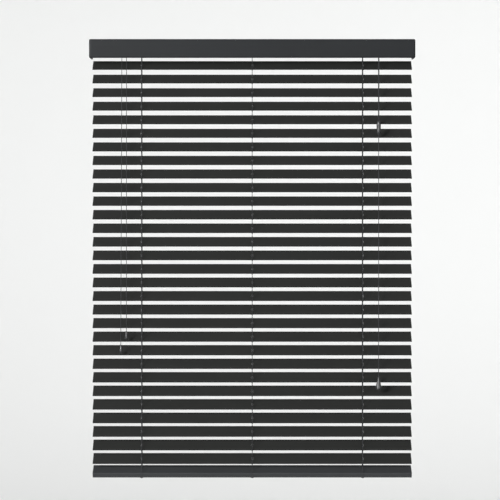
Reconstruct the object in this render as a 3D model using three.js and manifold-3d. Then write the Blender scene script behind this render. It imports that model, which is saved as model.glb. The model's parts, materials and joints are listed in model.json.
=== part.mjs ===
// Venetian blind with 50 mm slats, worked by cords: a valance and a steel headrail that
// hangs in two box brackets, thirty slats on three string ladders, and a bottom rail.
// Millimetres, +Z up, +X to the right seen from the room, and the room is on the -Y side.
// The origin is the middle of the plane that the tops of the brackets are screwed to.

import * as THREE from 'three';
import { mergeVertices } from 'three/addons/utils/BufferGeometryUtils.js';
import Module from 'manifold-3d';

const wasm = await Module();
wasm.setup();

// ---------------------------------------------------------------- driving dimensions

const fitGap = 0.3;               // between pieces that seat on or in one another

const slatCount = 30;
const slatLength = 1010;          // the bottom rail is as long
const slatWidth = 50;
const slatThickness = 3;
const slatPitch = 43;
const slatTiltDeg = 34.5;         // room-side edge down
const closedTiltDeg = 72;         // furthest tilt, either way
const topSlatClearance = 5;       // from the closed top slat to the headrail
const slotLength = 18;            // route slots for the lift cords, across the slat
const slotWidth = 5;

const headrailWider = 7;          // headrail depth beyond the slat width
const headrailShorter = 10;       // headrail length short of the slat length
const headrailHeight = 50;
const headrailWall = 1.2;
const headrailLip = 5;

const bracketWall = 1.5;
const bracketLength = 26;
const screwHoleRadius = 2.5;
const screwSpacing = 30;

const valanceThickness = 7;
const valanceBottom = 60;         // below the fixing plane
const valanceTopGap = 1;
const valanceEndGap = 2;          // from a slat's end to the return
const valanceReturnReach = 30;    // how far the returns run behind the middle
const valanceEdgeHeight = 5;      // the rounded long edges of the front board
const valanceEdgeDepth = 3;

const rodAcrossFlats = 6;
const rodOverhang = 22;           // past the tilter and past the last drum
const drumRadius = 16;
const drumFlangeHeight = 2;
const drumFlangeThickness = 1.5;
const drumWidth = 20;
const cradleBase = 2;             // thickness of the base plate
const cradleCheek = 2;
const cradleSideGap = 1;          // between a drum and its cheeks
const cradleDepth = 44;
const cradleFoot = 3;             // base plate beyond the cheeks
const cradleCheekRise = 7;        // cheeks above the rod's middle
const cradleArchHalf = 7;         // half width of the arch over the lift cords
const cradleSlotHalf = 2.5;       // half width of the holes in the base plate
const cradleSlotReach = 3;        // half length of the same holes
const ladderOpeningHalf = 7;      // half width of the headrail's opening under a cradle
const runClearance = 0.8;         // above and below the cords that run along the headrail

const ladderInset = 155;          // from the slat's end
const tilterInset = 101.5;
const lockInset = 106;
const stringDiameter = 1.8;       // ladder string
const stringBeyondSlat = 2.2;     // ladder string past the slat's edge, along the slat

const liftCordDiameter = 1.8;
const tiltCordDiameter = 1.8;
const pullCordDiameter = 2;
const freeCordForward = 7.5;      // free cords hang this far in front of the headrail
const cordLaneOffset = 3;         // between the lift cords where they run along the headrail
const cordLaneStart = 18;         // from a ladder to where its lift cord is in its lane

const gearTeeth = 12;
const wormLead = 4.4;
const wormPitchRadius = 4;
const wormCoreRadius = 2.5;
const threadHeight = 1;           // above and below the pitch line
const gearWidth = 6;
const pulleyRadius = 6.1;
const pulleyFlangeRadius = 8.6;
const pulleyWidth = 5.6;
const pulleyFlangeThickness = 1.2;
const pulleyClearance = 1;        // from the pulley to the hood's roof
const housingWall = 2;
const housingSideGap = 3.3;       // from the housings to the headrail's sides
const tilterHalfWidth = 12.5;
const tilterAboveRod = 9;
const hoodWall = 1.5;
const hoodForward = 5.5;          // the hoods' fronts in front of the free cords
const valanceClearance = 0.5;     // from the hoods to the valance
const hoodHalfWidth = 12.5;
const hoodBelow = 0.2;            // the hoods' lower edge below the headrail

const lockHalfWidth = 15;
const lockHeight = 26;
const lockHoodHalfWidth = 8;
const lockHoodHeight = 14;        // above the headrail's floor
const rollerRadius = 2.5;
const rollerLength = 8;
const rollerAboveCords = 9;
const rollerFromWall = 3;

const railThickness = 17;
const railCornerRadius = 2;
const railTiltDeg = 24.3;
const railDrop = 40.7;            // from the last slat's middle to the rail's
const railHoleRadius = 3;
const railEdgeClearance = 0.3;    // more than the fit gap, from the ladder strings to the rail
const plugLength = 46;            // across the rail
const plugWidth = 18;
const plugHeight = 3.5;
const plugStemRadius = 2.2;
const plugStemLength = 6;

const tiltTasselRadius = 4.5;
const tiltTasselLength = 25;
const tiltTasselTop = { left: -963.5, right: -921 };
const tiltCordLean = { left: 4, right: 1 };   // sideways drift from the tilter to the tassel
const equaliserRadius = 6.8;
const equaliserTop = -257;
const equaliserLength = 44;
const knotRadius = 3.8;
const knotDepth = 19.8;           // below the equaliser's top
const liftTasselRadius = 9.5;
const liftTasselTop = -1066;
const liftTasselLength = 39.5;

// ---------------------------------------------------------------- worked-out places

const slatTilt = THREE.MathUtils.degToRad(slatTiltDeg);
const closedTilt = THREE.MathUtils.degToRad(closedTiltDeg);
const stringReach = slatWidth / 2 + stringBeyondSlat;
const railTilt = THREE.MathUtils.degToRad(railTiltDeg);

const headrailDepth = slatWidth + headrailWider;
const headrailLength = slatLength - headrailShorter;
const headrailTop = -(bracketWall + fitGap);
const headrailBottom = headrailTop - headrailHeight;
const headrailFloor = headrailBottom + headrailWall;
const headrailFront = -headrailDepth / 2;

const topSlatRise = (slatWidth / 2) * Math.sin(closedTilt) + (slatThickness / 2) * Math.cos(closedTilt);
const topSlatZ = headrailBottom - topSlatRise - topSlatClearance;
const lastSlatZ = topSlatZ - (slatCount - 1) * slatPitch;
const railZ = lastSlatZ - railDrop;

const ladderX = slatLength / 2 - ladderInset;
const ladderPlaces = { left: -ladderX, centre: 0, right: ladderX };
const tilterX = -(slatLength / 2 - tilterInset);
const lockX = slatLength / 2 - lockInset;

const flangeRadius = drumRadius + drumFlangeHeight;
const runSpace = liftCordDiameter + 2 * runClearance;
const baseBottom = headrailFloor + fitGap;
const baseTop = baseBottom + cradleBase;
const liftRunZ = baseTop + runSpace / 2;
const rodZ = baseTop + runSpace + flangeRadius;
const rodCorner = rodAcrossFlats / 2 / Math.cos(Math.PI / 6);
const boreRadius = rodCorner + fitGap;

const gearPitchRadius = (gearTeeth * wormLead) / (2 * Math.PI);
const wormZ = rodZ - gearPitchRadius - wormPitchRadius;

const freeCordY = headrailFront - freeCordForward;
const hoodFront = freeCordY - hoodForward;
const hoodBottom = headrailBottom - hoodBelow;
const valanceInner = hoodFront - valanceClearance;
const valanceFront = valanceInner - valanceThickness;
const tiltCordSide = pulleyRadius + fitGap + tiltCordDiameter / 2;

// ---------------------------------------------------------------- materials

function finish(colour, roughness, metalness = 0) {
  return new THREE.MeshStandardMaterial({ color: colour, roughness, metalness });
}

const slatFinish = () => finish(0x37393b, 0.45);
const steelFinish = () => finish(0x3c3e40, 0.4, 0.7);
const rodFinish = () => finish(0xa9acad, 0.35, 1);
const plasticFinish = () => finish(0x2b2c2e, 0.55);
const nylonFinish = () => finish(0xd8d6cf, 0.6);
const brassFinish = () => finish(0xb08d4a, 0.35, 1);
const cordFinish = () => finish(0x3b3d40, 0.9);
const tasselFinish = () => finish(0x303234, 0.4);

// ---------------------------------------------------------------- shape tools

// A closed geometry as a solid that can be joined and cut.
function solidOf(geometry) {
  const plain = geometry.clone();
  plain.deleteAttribute('normal');
  plain.deleteAttribute('uv');
  const merged = mergeVertices(plain, 1e-4);
  const corners = merged.index.array;
  const kept = [];
  for (let i = 0; i < corners.length; i += 3) {
    const [a, b, c] = [corners[i], corners[i + 1], corners[i + 2]];
    if (a !== b && b !== c && c !== a) kept.push(a, b, c);
  }
  return new wasm.Manifold(new wasm.Mesh({
    numProp: 3,
    vertProperties: new Float32Array(merged.attributes.position.array),
    triVerts: new Uint32Array(kept),
  }));
}

function geometryOf(solid) {
  const mesh = solid.getMesh();
  const geometry = new THREE.BufferGeometry();
  geometry.setAttribute('position', new THREE.BufferAttribute(new Float32Array(mesh.vertProperties), 3));
  geometry.setIndex(new THREE.BufferAttribute(new Uint32Array(mesh.triVerts), 1));
  geometry.computeVertexNormals();
  return geometry;
}

const joined = (pieces) => pieces.map(solidOf).reduce((whole, piece) => whole.add(piece));
const cut = (whole, tools) => tools.map(solidOf).reduce((left, tool) => left.subtract(tool), whole);

// A box from its lowest to its highest corner.
function block(low, high) {
  const size = high.map((value, axis) => value - low[axis]);
  const middle = high.map((value, axis) => (value + low[axis]) / 2);
  return new THREE.BoxGeometry(...size).translate(...middle);
}

// A round bar between two points.
function bar(from, to, radius, sides = 8) {
  const start = new THREE.Vector3(...from);
  const end = new THREE.Vector3(...to);
  const along = end.clone().sub(start);
  const turn = new THREE.Quaternion();
  turn.setFromUnitVectors(new THREE.Vector3(0, 1, 0), along.clone().normalize());
  const geometry = new THREE.CylinderGeometry(radius, radius, along.length(), sides);
  geometry.applyQuaternion(turn);
  return geometry.translate(...start.add(end).multiplyScalar(0.5).toArray());
}

// The bars and the round corners of a string that runs through the given points.
function stringPieces(points, radius, sides = 8) {
  const cornerRadius = 1.08 * radius;
  const pieces = [];
  for (let i = 1; i < points.length; i += 1) {
    pieces.push(bar(points[i - 1], points[i], radius, sides));
    if (i > 1) pieces.push(new THREE.SphereGeometry(cornerRadius, 7, 3).translate(...points[i - 1]));
  }
  return pieces;
}

// A solid of revolution about Z, from [radius, height] pairs that rise up its outside.
function turned(profile, segments = 12) {
  const points = profile.map(([radius, height]) => new THREE.Vector2(radius, height));
  return new THREE.LatheGeometry(points, segments).rotateX(Math.PI / 2);
}

// A [y, z] outline drawn out along X, centred on x = 0.
function drawnAlongX(outline, length) {
  const geometry = new THREE.ExtrudeGeometry(outline, { depth: length, bevelEnabled: false });
  const turn = new THREE.Matrix4().makeBasis(
    new THREE.Vector3(0, 1, 0),
    new THREE.Vector3(0, 0, 1),
    new THREE.Vector3(1, 0, 0),
  );
  return geometry.translate(0, 0, -length / 2).applyMatrix4(turn);
}

const outlineOf = (points) => new THREE.Shape(points.map(([a, b]) => new THREE.Vector2(a, b)));

// Points on an arc, in degrees counterclockwise from the first axis.
function arcPoints(centre, radius, fromDeg, toDeg, steps) {
  return Array.from({ length: steps + 1 }, (_, step) => {
    const angle = THREE.MathUtils.degToRad(fromDeg + ((toDeg - fromDeg) * step) / steps);
    return [centre[0] + radius * Math.cos(angle), centre[1] + radius * Math.sin(angle)];
  });
}

// An outline with two straight sides and two round ends, long along the second axis.
function obround(width, length, steps) {
  const radius = width / 2;
  const reach = length / 2 - radius;
  return outlineOf([
    ...arcPoints([0, reach], radius, 0, 180, steps),
    ...arcPoints([0, -reach], radius, 180, 360, steps),
  ]);
}

const blind = new THREE.Group();

function addPiece(name, shape, material, parent = blind) {
  const geometry = shape.isBufferGeometry ? shape : geometryOf(shape);
  const mesh = new THREE.Mesh(geometry, material);
  mesh.name = name;
  parent.add(mesh);
  return mesh;
}

// ---------------------------------------------------------------- slats

function slatShape() {
  const nose = slatThickness / 2;
  const flat = slatWidth / 2 - nose;
  const section = outlineOf([
    ...arcPoints([flat, 0], nose, -90, 90, 3),
    ...arcPoints([-flat, 0], nose, 90, 270, 3),
  ]);
  const slots = Object.values(ladderPlaces).map((x) => {
    const slot = new THREE.ExtrudeGeometry(obround(slotWidth, slotLength, 3), {
      depth: 2 * slatThickness,
      bevelEnabled: false,
    });
    return slot.translate(x, 0, -slatThickness);
  });
  return geometryOf(cut(solidOf(drawnAlongX(section, slatLength)), slots));
}

function addSlats() {
  const shape = slatShape();
  for (let index = 0; index < slatCount; index += 1) {
    const name = `slat_${String(index + 1).padStart(2, '0')}`;
    const slat = addPiece(name, shape.clone(), slatFinish());
    slat.position.z = topSlatZ - index * slatPitch;
    slat.rotation.x = slatTilt;
  }
}

// ---------------------------------------------------------------- headrail

const housingReach = headrailDepth / 2 - headrailWall - housingSideGap;   // half their depth
const hoodRoot = -housingReach;
const hoodBack = hoodRoot + 1;    // the hood's sides end inside the housing's front wall
const tilterHoodTop = wormZ + pulleyFlangeRadius + pulleyClearance + hoodWall;
const lockHoodTop = headrailFloor + lockHoodHeight;

// The opening that the hood of the tilter or of the cord lock comes out through.
function hoodOpening(x, halfWidth, top) {
  const low = [x - halfWidth - fitGap, headrailFront - 1, headrailBottom - 1];
  const high = [x + halfWidth + fitGap, hoodBack + fitGap, top + fitGap];
  return block(low, high);
}

function headrailShape() {
  const outer = headrailDepth / 2;
  const inner = outer - headrailWall;
  const lipEdge = outer - headrailLip;
  const lipUnder = headrailTop - headrailWall;
  const section = outlineOf([
    [-outer, headrailBottom],
    [outer, headrailBottom],
    [outer, headrailTop],
    [lipEdge, headrailTop],
    [lipEdge, lipUnder],
    [inner, lipUnder],
    [inner, headrailFloor],
    [-inner, headrailFloor],
    [-inner, lipUnder],
    [-lipEdge, lipUnder],
    [-lipEdge, headrailTop],
    [-outer, headrailTop],
  ]);
  const ladderOpenings = Object.values(ladderPlaces).map((x) => block(
    [x - ladderOpeningHalf, -(cradleDepth / 2 - 1), headrailBottom - 1],
    [x + ladderOpeningHalf, cradleDepth / 2 - 1, headrailFloor + 1],
  ));
  return cut(solidOf(drawnAlongX(section, headrailLength)), [
    ...ladderOpenings,
    hoodOpening(tilterX, hoodHalfWidth, tilterHoodTop),
    hoodOpening(lockX, lockHoodHalfWidth, lockHoodTop),
  ]);
}

// ---------------------------------------------------------------- box brackets

// The bracket at one end of the headrail: side -1 is the left end, +1 the right.
function bracketShape(side) {
  const inside = headrailDepth / 2 + fitGap;
  const outside = inside + bracketWall;
  const endInner = headrailLength / 2 + fitGap;
  const endOuter = endInner + bracketWall;
  const mouth = endOuter - bracketLength;
  const underside = headrailBottom - fitGap;
  const along = (a, b) => (side > 0 ? [a, b] : [-b, -a]);
  const [outLow, outHigh] = along(mouth, endOuter);
  const [inLow, inHigh] = along(mouth - 1, endInner);
  const box = solidOf(block([outLow, -outside, underside - bracketWall], [outHigh, outside, 0]));
  const hollow = block([inLow, -outside - 1, underside], [inHigh, inside, -bracketWall]);
  const screwX = side * (mouth + bracketLength / 2);
  const holes = [-screwSpacing / 2, screwSpacing / 2].flatMap((offset) => [
    bar([screwX, offset, -bracketWall - 1], [screwX, offset, 1], screwHoleRadius),
    bar(
      [screwX, inside - 1, underside / 2 + offset],
      [screwX, outside + 1, underside / 2 + offset],
      screwHoleRadius,
    ),
  ]);
  return cut(box, [hollow, ...holes]);
}

// ---------------------------------------------------------------- valance

function valanceShape() {
  const halfLength = slatLength / 2 + valanceEndGap + valanceThickness;
  const bottom = -valanceBottom;
  const top = -valanceTopGap;
  const section = outlineOf([
    [valanceInner, top],
    [valanceFront + valanceEdgeDepth, top],
    [valanceFront + valanceEdgeDepth / 3, top - valanceEdgeHeight / 3],
    [valanceFront, top - valanceEdgeHeight],
    [valanceFront, bottom + valanceEdgeHeight],
    [valanceFront + valanceEdgeDepth / 3, bottom + valanceEdgeHeight / 3],
    [valanceFront + valanceEdgeDepth, bottom],
    [valanceInner, bottom],
  ]);
  const returns = [-1, 1].map((side) => {
    const [low, high] = [side * halfLength, side * (halfLength - valanceThickness)].sort((a, b) => a - b);
    return block([low, valanceInner - 1, bottom], [high, valanceReturnReach, top]);
  });
  return joined([drawnAlongX(section, 2 * halfLength), ...returns]);
}

// ---------------------------------------------------------------- tilt rod, drums, cradles

function rodShape() {
  const start = tilterX - rodOverhang;
  const end = ladderX + rodOverhang;
  return bar([start, 0, rodZ], [end, 0, rodZ], rodCorner, 6);
}

function drumShape(x) {
  const half = drumWidth / 2;
  const shoulder = half - drumFlangeThickness;
  const drum = turned([
    [boreRadius, -half],
    [flangeRadius, -half],
    [flangeRadius, -shoulder],
    [drumRadius, -shoulder],
    [drumRadius, shoulder],
    [flangeRadius, shoulder],
    [flangeRadius, half],
    [boreRadius, half],
    [boreRadius, -half],
  ], 16);
  return drum.rotateY(Math.PI / 2).translate(x, 0, rodZ);
}

function cradleShape(x) {
  const cheekInner = drumWidth / 2 + cradleSideGap;
  const cheekOuter = cheekInner + cradleCheek;
  const baseHalf = cheekOuter + cradleFoot;
  const foot = cradleDepth / 2 - 2;
  const notch = boreRadius + fitGap;
  const archTop = liftRunZ + runSpace / 2 + 1;
  const cheekTop = rodZ + cradleCheekRise;
  const cheek = outlineOf([
    [-foot, baseTop - 0.5],
    [-cradleArchHalf, baseTop - 0.5],
    [-cradleArchHalf, archTop],
    [cradleArchHalf, archTop],
    [cradleArchHalf, baseTop - 0.5],
    [foot, baseTop - 0.5],
    [notch + 5, cheekTop],
    [notch, cheekTop],
    ...arcPoints([0, rodZ], notch, 0, -180, 6),
    [-notch, cheekTop],
    [-notch - 5, cheekTop],
  ]);
  const cheeks = [-1, 1].map((side) => {
    const middle = x + side * (cheekInner + cradleCheek / 2);
    return drawnAlongX(cheek, cradleCheek).translate(middle, 0, 0);
  });
  const halfDepth = cradleDepth / 2;
  const plate = block([x - baseHalf, -halfDepth, baseBottom], [x + baseHalf, halfDepth, baseTop]);
  const stringY = drumRadius + fitGap + stringDiameter / 2;
  const stringSlots = [-1, 1].map((side) => block(
    [x - cradleSlotHalf, side * stringY - cradleSlotReach, baseBottom - 1],
    [x + cradleSlotHalf, side * stringY + cradleSlotReach, baseTop + 1],
  ));
  const cordHole = block(
    [x - cradleSlotHalf, -cradleSlotReach, baseBottom - 1],
    [x + cradleSlotHalf, cradleSlotReach, baseTop + 1],
  );
  return cut(joined([plate, ...cheeks]), [...stringSlots, cordHole]);
}

// ---------------------------------------------------------------- tilter

// A housing with a hood in front that the cords hang out of.
function housingShape(x, halfWidth, top, hoodHalf, hoodTop) {
  const shell = joined([
    block([x - halfWidth, -housingReach, baseBottom], [x + halfWidth, housingReach, top]),
    block([x - hoodHalf, hoodFront, hoodBottom], [x + hoodHalf, hoodBack, hoodTop]),
  ]);
  const cavityReach = housingReach - housingWall;
  return cut(shell, [
    block(
      [x - halfWidth + housingWall, -cavityReach, baseBottom + housingWall],
      [x + halfWidth - housingWall, cavityReach, top + 1],
    ),
    block(
      [x - hoodHalf + hoodWall, hoodFront + hoodWall, hoodBottom - 1],
      [x + hoodHalf - hoodWall, hoodRoot, hoodTop - hoodWall],
    ),
  ]);
}

function tilterHousingShape() {
  const top = rodZ + tilterAboveRod;
  const shell = housingShape(tilterX, tilterHalfWidth, top, hoodHalfWidth, tilterHoodTop);
  const rodHole = bar([tilterX - 20, 0, rodZ], [tilterX + 20, 0, rodZ], boreRadius + fitGap, 12);
  const shaftRadius = wormCoreRadius + fitGap;
  const shaftHole = bar(
    [tilterX, hoodRoot - 1, wormZ],
    [tilterX, housingReach - 0.6, wormZ],
    shaftRadius,
    12,
  );
  return cut(shell, [rodHole, shaftHole]);
}

// The helical thread of the worm, about Y, centred on the origin and highest at y = 0.
function threadGeometry(turns, stepsPerTurn) {
  const tipRadius = wormPitchRadius + threadHeight;
  const rootRadius = wormCoreRadius - 0.5;
  const rootHalf = 1;
  const tipHalf = 0.5;
  const section = [
    [rootRadius, -rootHalf],
    [tipRadius, -tipHalf],
    [tipRadius, tipHalf],
    [rootRadius, rootHalf],
  ];
  const steps = Math.round(turns * stepsPerTurn);
  const positions = [];
  const corners = [];
  for (let step = 0; step <= steps; step += 1) {
    const angle = 2 * Math.PI * (step / stepsPerTurn - turns / 2);
    const climb = (wormLead * angle) / (2 * Math.PI);
    section.forEach(([radius, offset]) => {
      positions.push(radius * Math.sin(angle), climb + offset, radius * Math.cos(angle));
    });
  }
  for (let step = 0; step < steps; step += 1) {
    for (let side = 0; side < 4; side += 1) {
      const a = 4 * step + side;
      const b = 4 * step + ((side + 1) % 4);
      corners.push(a, a + 4, b, b, a + 4, b + 4);
    }
  }
  const last = 4 * steps;
  corners.push(0, 1, 2, 0, 2, 3);
  corners.push(last, last + 2, last + 1, last, last + 3, last + 2);
  const geometry = new THREE.BufferGeometry();
  geometry.setAttribute('position', new THREE.Float32BufferAttribute(positions, 3));
  geometry.setIndex(corners);
  return geometry;
}

// Worm, shaft and cord pulley in one, on an axis along Y.
function wormShape() {
  const sides = 12;
  const rearEnd = housingReach - 0.9;
  const shaft = bar([0, freeCordY, 0], [0, rearEnd, 0], wormCoreRadius, sides).rotateY(Math.PI / sides);
  const half = pulleyWidth / 2;
  const shoulder = half - pulleyFlangeThickness;
  const pulley = turned([
    [0, -half],
    [pulleyFlangeRadius, -half],
    [pulleyFlangeRadius, -shoulder],
    [pulleyRadius, -shoulder],
    [pulleyRadius, shoulder],
    [pulleyFlangeRadius, shoulder],
    [pulleyFlangeRadius, half],
    [0, half],
  ], 16);
  pulley.rotateX(Math.PI / 2).translate(0, freeCordY, 0);
  const worm = joined([shaft, pulley, threadGeometry(4, sides)]);
  return geometryOf(worm).translate(tilterX, 0, wormZ);
}

// The worm wheel on the tilt rod, with a gap between two teeth straight below the rod.
function gearShape() {
  const rootRadius = gearPitchRadius - threadHeight - 0.4;
  const tipRadius = gearPitchRadius + threadHeight + 0.1;
  const rootHalf = 1.05 / rootRadius;
  const tipHalf = 0.5 / tipRadius;
  const outline = [];
  for (let tooth = 0; tooth < gearTeeth; tooth += 1) {
    const middle = ((tooth + 0.5) * 2 * Math.PI) / gearTeeth;
    const flank = [
      [rootRadius, middle - rootHalf],
      [tipRadius, middle - tipHalf],
      [tipRadius, middle + tipHalf],
      [rootRadius, middle + rootHalf],
    ];
    flank.forEach(([radius, angle]) => {
      outline.push([radius * Math.sin(angle), -radius * Math.cos(angle)]);
    });
  }
  const shape = outlineOf(outline);
  const bore = new THREE.Path();
  bore.absarc(0, 0, boreRadius, 0, 2 * Math.PI, true);
  shape.holes.push(bore);
  return drawnAlongX(shape, gearWidth).translate(tilterX, 0, rodZ);
}

// ---------------------------------------------------------------- cord lock

function lockShape() {
  const top = baseBottom + lockHeight;
  const shell = housingShape(lockX, lockHalfWidth, top, lockHoodHalfWidth, lockHoodTop);
  const hoodCavity = lockHoodHalfWidth - hoodWall;
  const cordWindow = block(
    [lockX - lockHalfWidth - 1, -7, liftRunZ - 2],
    [lockX - lockHalfWidth + housingWall + 1, 7, liftRunZ + 4],
  );
  const throat = block(
    [lockX - hoodCavity, hoodRoot - 1, liftRunZ - 1.5],
    [lockX + hoodCavity, hoodRoot + housingWall + 1, lockHoodTop - hoodWall],
  );
  return cut(shell, [cordWindow, throat]);
}

function rollerShape() {
  const y = -(housingReach - housingWall - rollerFromWall);
  const z = liftRunZ + rollerAboveCords;
  return bar([lockX, y, z], [lockX, y + rollerLength, z], rollerRadius, 12);
}

// ---------------------------------------------------------------- bottom rail and plugs

const railFrame = new THREE.Group();
railFrame.position.z = railZ;
railFrame.rotation.x = railTilt;
blind.add(railFrame);

function railShape() {
  const halfWidth = slatWidth / 2 - railCornerRadius;
  const halfHeight = railThickness / 2 - railCornerRadius;
  const section = outlineOf([
    ...arcPoints([halfWidth, halfHeight], railCornerRadius, 0, 90, 2),
    ...arcPoints([-halfWidth, halfHeight], railCornerRadius, 90, 180, 2),
    ...arcPoints([-halfWidth, -halfHeight], railCornerRadius, 180, 270, 2),
    ...arcPoints([halfWidth, -halfHeight], railCornerRadius, 270, 360, 2),
  ]);
  const holes = Object.values(ladderPlaces).map((x) => bar(
    [x, 0, -railThickness],
    [x, 0, railThickness],
    railHoleRadius,
  ));
  return cut(solidOf(drawnAlongX(section, slatLength)), holes);
}

function plugShape(x) {
  const rim = plugHeight / 2;
  const cap = new THREE.ExtrudeGeometry(obround(plugWidth - 2 * rim, plugLength - 2 * rim, 5), {
    depth: plugHeight / 4,
    bevelThickness: rim,
    bevelSize: rim,
    bevelSegments: 2,
  });
  const under = -railThickness / 2 - fitGap;
  cap.translate(0, 0, under - rim - plugHeight / 4);
  const trim = block([-plugWidth, -plugLength, under], [plugWidth, plugLength, under + plugHeight]);
  const stem = bar([0, 0, under - 0.5], [0, 0, under + plugStemLength], plugStemRadius);
  const plug = cut(solidOf(cap), [trim]).add(solidOf(stem));
  return geometryOf(plug).translate(x, 0, 0);
}

// ---------------------------------------------------------------- cords and what hangs on them

const unitRail = [-Math.sin(railTilt), Math.cos(railTilt)];   // out of the rail's top face, [y, z]
const railTopY = (railThickness / 2) * unitRail[0];
const railTopZ = railZ + (railThickness / 2) * unitRail[1];

// Three lift cords: up through the slots, along the headrail and together in the lock's throat.
function liftCordsShape() {
  const radius = liftCordDiameter / 2;
  const laneOf = { left: -cordLaneOffset, centre: cordLaneOffset, right: 0 };
  const lockEntry = lockX - lockHalfWidth + 4;
  const meeting = [lockX, hoodRoot + 4, liftRunZ + 1];
  const pieces = Object.entries(ladderPlaces).flatMap(([name, x]) => stringPieces([
    [x, railTopY - 3 * unitRail[0], railTopZ - 3 * unitRail[1]],
    [x, railTopY, railTopZ],
    [x, 0, lastSlatZ - 6],
    [x, 0, liftRunZ],
    [x + cordLaneStart, laneOf[name], liftRunZ],
    [lockEntry, laneOf[name], liftRunZ],
    meeting,
  ], radius, 6));
  const throat = stringPieces([
    meeting,
    [lockX, freeCordY + 1, liftRunZ + 1],
    [lockX, freeCordY, liftRunZ],
  ], 1.4 * radius);
  const knot = new THREE.SphereGeometry(2 * radius, 8, 6).translate(...meeting);
  return joined([...pieces, ...throat, knot]);
}

const pullCordTop = liftRunZ - 1 - fitGap;
const liftTasselJoint = liftTasselTop + fitGap;

// Three tails from the lock to a knot in the equaliser, and one cord on to the tassel.
function pullCordShape() {
  const radius = liftCordDiameter / 2;
  const bunch = [[-1.1, -0.6], [1.1, -0.6], [0, 1.3]];
  const knotZ = equaliserTop - knotDepth;
  const tails = bunch.map(([x, y]) => bar(
    [lockX + x, freeCordY + y, pullCordTop],
    [lockX + x, freeCordY + y, knotZ],
    radius,
  ));
  const knot = new THREE.SphereGeometry(knotRadius, 10, 8).translate(lockX, freeCordY, knotZ);
  const single = bar(
    [lockX, freeCordY, knotZ],
    [lockX, freeCordY, liftTasselJoint],
    pullCordDiameter / 2,
  );
  return joined([...tails, knot, single]);
}

function equaliserShape() {
  const wall = 1.5;
  const outer = equaliserRadius;
  const inner = outer - wall;
  const cordHole = pullCordDiameter / 2 + 0.4;
  const tailHole = 2.9;
  const profile = [
    [cordHole, -equaliserLength],
    [outer * 0.6, -equaliserLength],
    [outer * 0.9, -equaliserLength + 5],
    [outer, -equaliserLength + 13],
    [outer, -10],
    [outer * 0.85, -4],
    [tailHole + 1, 0],
    [tailHole, 0],
    [tailHole, -wall],
    [inner * 0.85, -5],
    [inner, -11],
    [inner, -equaliserLength + 13],
    [cordHole + 1, -equaliserLength + 4],
    [cordHole, -equaliserLength + 4],
    [cordHole, -equaliserLength],
  ];
  return turned(profile, 14).translate(lockX, freeCordY, equaliserTop);
}

function liftTasselShape() {
  const profile = [
    [0, -liftTasselLength],
    [liftTasselRadius * 0.84, -liftTasselLength],
    [liftTasselRadius, -liftTasselLength + 2],
    [liftTasselRadius * 0.95, -liftTasselLength + 7],
    [liftTasselRadius * 0.66, -liftTasselLength * 0.5],
    [liftTasselRadius * 0.42, -liftTasselLength * 0.25],
    [liftTasselRadius * 0.36, -3],
    [liftTasselRadius * 0.2, 0],
    [0, 0],
  ];
  return turned(profile, 14).translate(lockX, freeCordY, liftTasselTop);
}

// Where a tilt cord leaves the pulley, and where its tassel's top is.
function tiltCordEnds(name) {
  const side = name === 'left' ? -1 : 1;
  const x = tilterX + side * tiltCordSide;
  const lean = name === 'left' ? -tiltCordLean.left : -tiltCordLean.right;
  return {
    exit: [x, freeCordY, wormZ],
    tassel: [x + lean, freeCordY, tiltTasselTop[name]],
  };
}

function tiltCordShape(name) {
  const { exit, tassel } = tiltCordEnds(name);
  const radius = tiltCordDiameter / 2;
  const end = [tassel[0], tassel[1], tassel[2] + fitGap];
  const middle = exit.map((value, axis) => (value + end[axis]) / 2);
  return joined(stringPieces([exit, middle, end], radius));
}

function tiltTasselShape(name) {
  const profile = [
    [0, -tiltTasselLength],
    [tiltTasselRadius * 0.8, -tiltTasselLength],
    [tiltTasselRadius, -tiltTasselLength + 1.5],
    [tiltTasselRadius, -tiltTasselLength + 6],
    [tiltTasselRadius * 0.75, -tiltTasselLength * 0.45],
    [tiltTasselRadius * 0.5, -3],
    [tiltTasselRadius * 0.3, 0],
    [0, 0],
  ];
  return turned(profile, 12).translate(...tiltCordEnds(name).tassel);
}

// One upright string of the middle ladder: side -1 is the room side, +1 the window side.
function ladderShape(side) {
  const radius = stringDiameter / 2;
  const drumSide = side * (drumRadius + fitGap + radius);
  const stringY = side * stringReach * Math.cos(slatTilt);
  const tie = side * stringReach * Math.sin(slatTilt);
  const clear = radius + fitGap + railEdgeClearance;
  const across = [Math.cos(railTilt), Math.sin(railTilt)];
  const railEdge = side * (slatWidth / 2 + clear);
  const edgeTop = side < 0 ? railThickness / 2 - 1 : 1;
  const edgeEnd = side < 0 ? -railThickness / 2 + 2 : -railThickness / 2 + 5;
  const onEdge = (height) => [
    0,
    railEdge * across[0] + height * unitRail[0],
    railZ + railEdge * across[1] + height * unitRail[1],
  ];
  return joined(stringPieces([
    [0, drumSide, rodZ],
    [0, drumSide, headrailBottom - 2],
    [0, stringY, topSlatZ + tie],
    [0, stringY, lastSlatZ + tie - 4],
    onEdge(edgeTop),
    onEdge(edgeEnd),
  ], radius));
}

// ---------------------------------------------------------------- the assembly

addPiece('headrail', headrailShape(), steelFinish());
addPiece('bracket_left', bracketShape(-1), steelFinish());
addPiece('bracket_right', bracketShape(1), steelFinish());
addPiece('valance', valanceShape(), slatFinish());

addPiece('tilt_rod', rodShape(), rodFinish());
for (const [name, x] of Object.entries(ladderPlaces)) {
  addPiece(`drum_${name}`, drumShape(x), nylonFinish());
  addPiece(`cradle_${name}`, cradleShape(x), plasticFinish());
}
addPiece('tilter_housing', tilterHousingShape(), plasticFinish());
addPiece('tilter_worm', wormShape(), nylonFinish());
addPiece('tilter_gear', gearShape(), nylonFinish());
addPiece('cord_lock_body', lockShape(), plasticFinish());
addPiece('cord_lock_roller', rollerShape(), brassFinish());

addSlats();

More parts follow.
